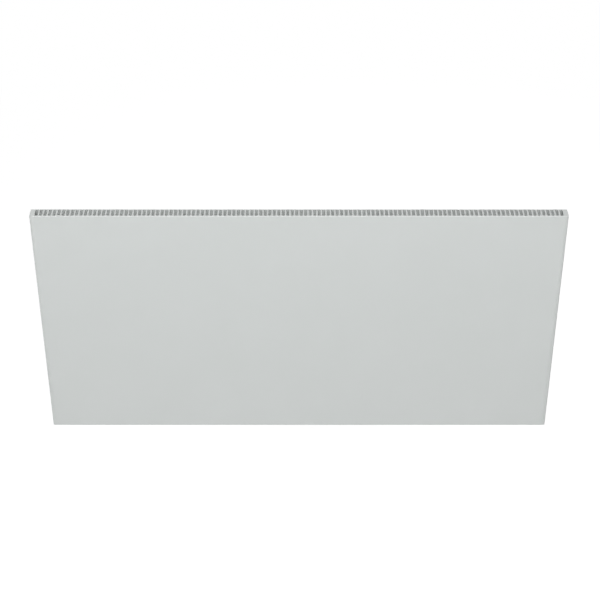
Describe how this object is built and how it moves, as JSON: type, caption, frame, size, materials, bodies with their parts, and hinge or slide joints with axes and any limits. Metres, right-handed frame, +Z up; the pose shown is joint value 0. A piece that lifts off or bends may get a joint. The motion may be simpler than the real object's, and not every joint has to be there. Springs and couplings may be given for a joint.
{
  "type": "infrared panel heater",
  "caption": "Slim wall-hung radiant panel heater: a folded steel casing with a plain front and a slotted top, on hooks over a wall rail, with a terminal box and rocker switch behind.",
  "frame": {"origin": "middle of the wall rail's back face, on the wall", "axes": "+Z up, -Y out of the wall towards the room, +X to the right as seen from the room"},
  "size_m": [1.2, 0.054, 0.6],
  "materials": {
    "powder_coat": "fine satin powder coat, light grey-white",
    "galvanised": "galvanised sheet",
    "zinc_plate": "bright zinc plate",
    "mica": "pressed mica sheet",
    "resistance_foil": "rolled foil",
    "aluminium": "bright rolled",
    "mineral_wool": "bonded fibre board",
    "grey_plastic": "fine moulded texture",
    "white_plastic": "plain moulded",
    "black_plastic": "satin moulded",
    "rubber": "matte",
    "brass": "turned",
    "brown_lead": "lead insulation",
    "blue_lead": "lead insulation",
    "earth_lead": "lead insulation"
  },
  "bodies": {
    "wall_rail": {"wall_rail": "galvanised"},
    "heater": {"front_casing": "powder_coat", "rear_panel": "galvanised", "hanger_left": "galvanised", "hanger_right": "galvanised", "wall_buffer_left": "rubber", "wall_buffer_right": "rubber", "buffer_screw_left": "zinc_plate", "buffer_screw_right": "zinc_plate", "element_front_sheet": "mica", "heating_track": "resistance_foil", "element_rear_sheet": "mica", "reflector_sheet": "aluminium", "insulation_board": "mineral_wool", "cutout_cup": "aluminium", "cutout_body": "black_plastic", "terminal_box": "grey_plastic", "terminal_cover": "grey_plastic", "cover_screw_1": "zinc_plate", "cover_screw_2": "zinc_plate", "box_screw_1": "zinc_plate", "box_screw_2": "zinc_plate", "terminal_block": "white_plastic", "gland_body": "black_plastic", "gland_dome_nut": "black_plastic", "gland_lock_nut": "black_plastic", "switch_housing": "black_plastic", "lead_grommet": "rubber", "earth_stud": "zinc_plate", "earth_nut": "brass", "neutral_lead": "blue_lead", "cutout_lead": "brown_lead", "live_lead": "brown_lead", "switch_lead": "brown_lead", "earth_lead": "earth_lead", "rear_screw_1": "zinc_plate", "rear_screw_2": "zinc_plate", "rear_screw_3": "zinc_plate", "rear_screw_4": "zinc_plate", "rear_screw_5": "zinc_plate", "rear_screw_6": "zinc_plate", "rear_screw_7": "zinc_plate", "rear_screw_8": "zinc_plate", "rear_screw_9": "zinc_plate", "rear_screw_10": "zinc_plate", "hanger_rivet_1": "aluminium", "retaining_bridge_1": "galvanised", "hanger_rivet_2": "aluminium", "retaining_bridge_2": "galvanised", "hanger_rivet_3": "aluminium", "retaining_bridge_3": "galvanised", "hanger_rivet_4": "aluminium", "retaining_bridge_4": "galvanised"},
    "switch_rocker": {"switch_rocker": "black_plastic"}
  },
  "joints": [
    {"name": "lift_off", "type": "slide", "parent": "wall_rail", "child": "heater", "axis": [0, 0, 1], "range_m": [0, 0.012]},
    {"name": "rocker_tilt", "type": "hinge", "parent": "heater", "child": "switch_rocker", "pos_m": [0.515, -0.01275, -0.4867], "axis": [0, -1, 0], "range_deg": [0, 16]}
  ]
}
